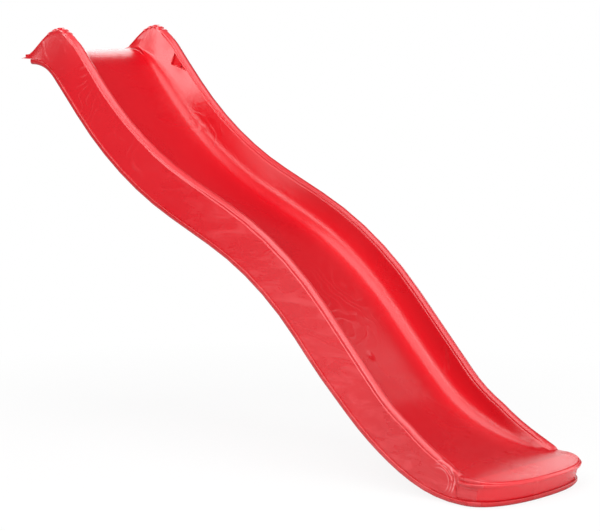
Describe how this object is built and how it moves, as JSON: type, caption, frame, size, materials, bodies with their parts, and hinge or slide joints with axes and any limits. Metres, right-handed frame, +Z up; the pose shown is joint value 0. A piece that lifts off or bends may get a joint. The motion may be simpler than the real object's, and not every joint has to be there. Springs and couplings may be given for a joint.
{
  "type": "outdoor slide",
  "caption": "Hollow moulded wave slide for a garden platform, with a lip, grip ears, side rails, a rounded run-out and a water inlet.",
  "frame": {"origin": "middle of the lip's flat underside, where it rests on the platform", "axes": "+X down the slide, from the platform to the run-out; +Y to the left, across the slide; +Z up"},
  "size_m": [2.0281, 0.496, 1.3049],
  "materials": {
    "red_plastic": "gloss",
    "dark_red_plastic": "satin",
    "black_rubber": "matte"
  },
  "bodies": {
    "root": {"upper_shell": "red_plastic", "under_shell": "red_plastic", "water_inlet_socket": "dark_red_plastic", "inlet_seal": "black_rubber"}
  },
  "joints": []
}
